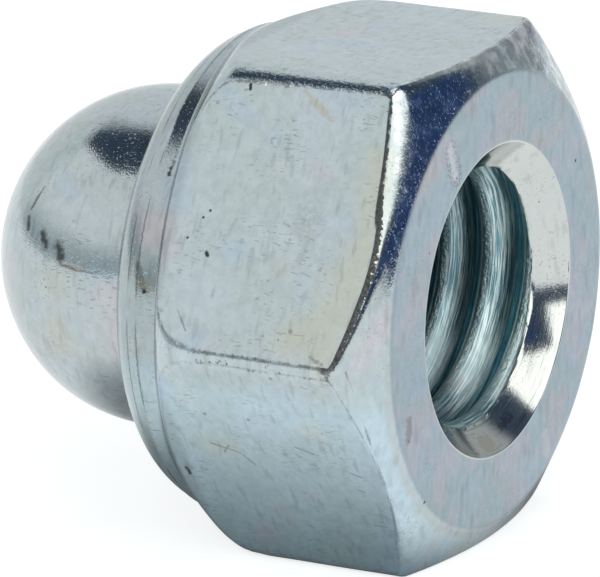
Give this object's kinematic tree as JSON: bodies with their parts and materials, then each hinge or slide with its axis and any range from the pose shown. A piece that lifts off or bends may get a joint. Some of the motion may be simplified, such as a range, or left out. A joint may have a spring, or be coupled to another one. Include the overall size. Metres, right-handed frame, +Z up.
{
  "type": "cap nut",
  "caption": "Hexagon locking cap nut with a countersunk threaded hole, a rolled collar and a smooth closed dome over the stud end.",
  "frame": {"origin": "on the nut's axis, in the plane of the bearing face", "axes": "+X along the axis, out of the threaded hole; the dome points to -X; +Z up, square to the flat that the nut lies on"},
  "size_m": [0.014, 0.0148, 0.013],
  "materials": {
    "zinc_body": "zinc plated, satin, clear passivated",
    "zinc_cap": "zinc plated, smooth, clear passivated",
    "polyamide": "natural polyamide"
  },
  "bodies": {
    "root": {"nut_body": "zinc_body", "dome_cap": "zinc_cap", "locking_ring": "polyamide"}
  },
  "joints": []
}
